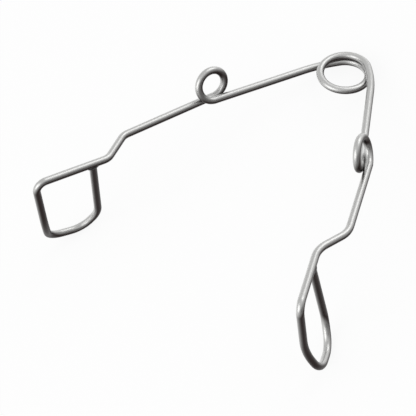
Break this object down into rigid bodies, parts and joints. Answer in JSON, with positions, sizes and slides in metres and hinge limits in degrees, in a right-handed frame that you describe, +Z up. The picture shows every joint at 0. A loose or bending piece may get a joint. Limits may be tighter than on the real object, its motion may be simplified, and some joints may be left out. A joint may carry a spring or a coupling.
{
  "type": "self retaining wire retractor",
  "caption": "Small spring-wire retractor: a sprung coil, splayed arms with standing eyelets, and hanging wire-loop blades that hold a wound open.",
  "frame": {"origin": "middle of the part's footprint on the table it stands on, under the middle of its bounding box", "axes": "+Z is up; +Y runs from the blades towards the coil; the left arm is on the -X side and the right arm on the +X side, as seen from behind the blades looking towards the coil"},
  "size_m": [0.0654, 0.0638, 0.0243],
  "materials": {
    "spring_wire": "bright stainless spring wire, satin, with faint drawing marks along it",
    "weld": "stainless weld bead, darkened by heat"
  },
  "bodies": {
    "left_arm": {"spring_coil": "spring_wire", "left_inner_arm": "spring_wire", "left_eyelet": "spring_wire", "left_outer_arm": "spring_wire", "left_crank": "spring_wire", "left_blade_top_bar": "spring_wire", "left_blade_front_upright": "spring_wire", "left_blade_bottom_bar": "spring_wire", "left_blade_back_upright": "spring_wire", "left_blade_weld": "weld"},
    "right_arm": {"right_inner_arm": "spring_wire", "right_eyelet": "spring_wire", "right_outer_arm": "spring_wire", "right_crank": "spring_wire", "right_blade_top_bar": "spring_wire", "right_blade_front_upright": "spring_wire", "right_blade_bottom_bar": "spring_wire", "right_blade_back_upright": "spring_wire", "right_blade_weld": "weld"}
  },
  "joints": [
    {"name": "arm_squeeze", "type": "hinge", "parent": "left_arm", "child": "right_arm", "pos_m": [0.00108, 0.0265, 0.00308], "axis": [-0.0465, -0.3352, -0.941], "range_deg": [0, 52], "stiffness_Nm_per_rad": 0.66, "deforming": ["spring_coil"]}
  ]
}
